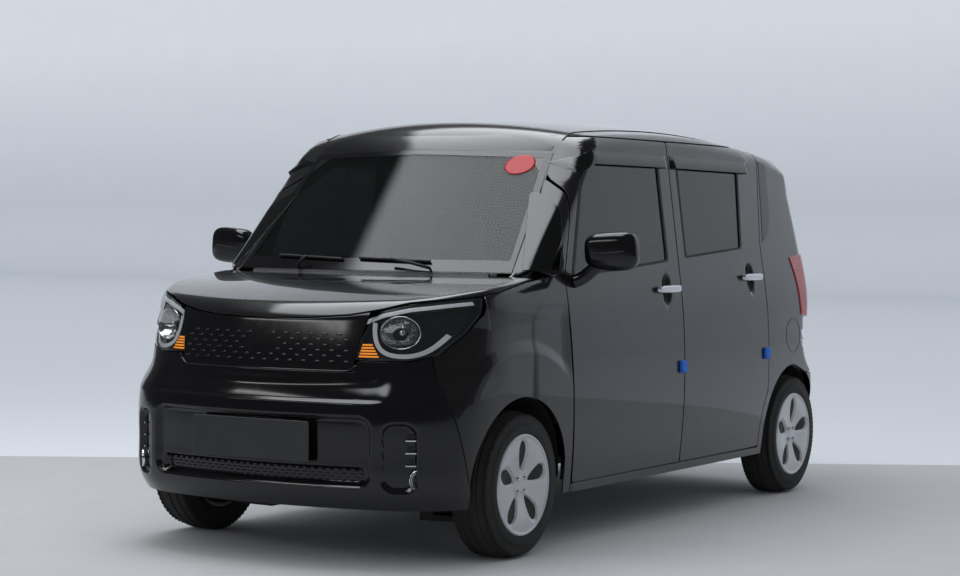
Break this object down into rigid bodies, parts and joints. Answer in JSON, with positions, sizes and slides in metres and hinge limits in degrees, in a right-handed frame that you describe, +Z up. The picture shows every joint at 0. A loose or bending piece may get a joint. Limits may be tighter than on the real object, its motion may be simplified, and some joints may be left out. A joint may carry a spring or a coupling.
{
  "type": "boxy city car",
  "caption": "Boxy five-door city car with upright cabin, short bonnet, large side windows and small covered wheels.",
  "frame": {"origin": "on the ground under the middle of the car", "axes": "+Z up, the nose towards -Y, the car's left-hand side towards +X"},
  "size_m": [2.066, 3.5965, 1.7],
  "materials": {
    "body_paint": "black paint under clear gloss",
    "gloss_black": "piano black plastic",
    "underbody_black": "black chassis paint",
    "black_plastic": "grained black plastic",
    "clear_lamp": "clear lamp lens",
    "red_lamp": "red lamp lens",
    "windscreen_glass": "lightly tinted glass",
    "privacy_glass": "dark privacy glass",
    "seat_cloth": "dark grey woven cloth",
    "engine_metal": "cast metal",
    "bright_trim": "bright satin metal",
    "wheel_silver": "silver lacquer",
    "tyre_rubber": "black rubber"
  },
  "bodies": {
    "body": {"body_side_left": "body_paint", "body_side_right": "body_paint", "windscreen_header": "body_paint", "rear_frame": "body_paint", "bulkhead": "body_paint", "roof": "body_paint", "floor_pan": "underbody_black", "front_wheel_houses": "black_plastic", "rear_wheel_houses": "black_plastic", "front_bumper": "body_paint", "grille": "gloss_black", "headlamps": "clear_lamp", "wing_left": "body_paint", "wing_right": "body_paint", "scuttle": "black_plastic", "rear_bumper": "body_paint", "tail_lamps": "red_lamp", "windscreen": "windscreen_glass", "side_glasses": "privacy_glass", "dashboard": "black_plastic", "front_seats": "seat_cloth", "rear_seat": "seat_cloth", "front_subframe": "underbody_black", "engine": "engine_metal", "radiator": "engine_metal", "rear_axle": "underbody_black", "fuel_tank": "underbody_black", "exhaust": "engine_metal"},
    "bonnet": {"bonnet": "body_paint"},
    "front_door_left": {"front_door_left": "body_paint", "front_door_glass_left": "privacy_glass", "door_mirror_left": "gloss_black", "front_handle_left": "bright_trim"},
    "front_door_right": {"front_door_right": "body_paint", "front_door_glass_right": "privacy_glass", "door_mirror_right": "gloss_black", "front_handle_right": "bright_trim"},
    "rear_door_left": {"rear_door_left": "body_paint", "rear_door_glass_left": "privacy_glass", "rear_handle_left": "bright_trim"},
    "rear_door_right": {"rear_door_right": "body_paint", "rear_door_glass_right": "privacy_glass", "rear_handle_right": "bright_trim"},
    "tailgate": {"tailgate": "body_paint", "tailgate_glass": "privacy_glass"},
    "knuckle_left": {"knuckle_left": "underbody_black"},
    "knuckle_right": {"knuckle_right": "underbody_black"},
    "steering_wheel": {"steering_wheel": "black_plastic"},
    "wheel_front_left": {"wheel_front_left": "wheel_silver", "tyre_front_left": "tyre_rubber"},
    "wheel_front_right": {"wheel_front_right": "wheel_silver", "tyre_front_right": "tyre_rubber"},
    "wheel_rear_left": {"wheel_rear_left": "wheel_silver", "tyre_rear_left": "tyre_rubber"},
    "wheel_rear_right": {"wheel_rear_right": "wheel_silver", "tyre_rear_right": "tyre_rubber"}
  },
  "joints": [
    {"name": "steer_left", "type": "hinge", "parent": "body", "child": "knuckle_left", "pos_m": [0.638, -1.1425, 0.15], "axis": [-0.1815, 0, 0.9834], "range_deg": [-35, 35]},
    {"name": "steer_right", "type": "hinge", "parent": "body", "child": "knuckle_right", "pos_m": [-0.638, -1.1425, 0.15], "axis": [0.1815, 0, 0.9834], "range_deg": [-35, 35]},
    {"name": "steering_wheel_turn", "type": "hinge", "parent": "body", "child": "steering_wheel", "pos_m": [0.345, -0.56, 0.93], "axis": [0, 0.8988, 0.4384], "range_deg": [-525, 525]},
    {"name": "spin_front_left", "type": "hinge", "parent": "knuckle_left", "child": "wheel_front_left", "pos_m": [0.702, -1.1425, 0.277], "axis": [1, 0, 0], "continuous": true},
    {"name": "spin_front_right", "type": "hinge", "parent": "knuckle_right", "child": "wheel_front_right", "pos_m": [-0.702, -1.1425, 0.277], "axis": [1, 0, 0], "continuous": true},
    {"name": "spin_rear_left", "type": "hinge", "parent": "body", "child": "wheel_rear_left", "pos_m": [0.702, 1.3775, 0.277], "axis": [1, 0, 0], "continuous": true},
    {"name": "spin_rear_right", "type": "hinge", "parent": "body", "child": "wheel_rear_right", "pos_m": [-0.702, 1.3775, 0.277], "axis": [1, 0, 0], "continuous": true},
    {"name": "open_front_door_left", "type": "hinge", "parent": "body", "child": "front_door_left", "pos_m": [0.7875, -0.77, 0.6], "axis": [0, 0, -1], "range_deg": [0, 62]},
    {"name": "open_rear_door_left", "type": "hinge", "parent": "body", "child": "rear_door_left", "pos_m": [0.7875, 0.225, 0.6], "axis": [0, 0, -1], "range_deg": [0, 65]},
    {"name": "open_front_door_right", "type": "hinge", "parent": "body", "child": "front_door_right", "pos_m": [-0.7875, -0.77, 0.6], "axis": [0, 0, 1], "range_deg": [0, 62]},
    {"name": "open_rear_door_right", "type": "hinge", "parent": "body", "child": "rear_door_right", "pos_m": [-0.7875, 0.225, 0.6], "axis": [0, 0, 1], "range_deg": [0, 65]},
    {"name": "open_bonnet", "type": "hinge", "parent": "body", "child": "bonnet", "pos_m": [0, -1.004, 1.042], "axis": [-1, 0, 0], "range_deg": [0, 48]},
    {"name": "open_tailgate", "type": "hinge", "parent": "body", "child": "tailgate", "pos_m": [0, 1.467, 1.608], "axis": [1, 0, 0], "range_deg": [0, 80]}
  ],
  "couplings": [
    {"joint": "steer_right", "follows": "steer_left", "ratio": 1},
    {"joint": "steering_wheel_turn", "follows": "steer_left", "ratio": 15}
  ]
}
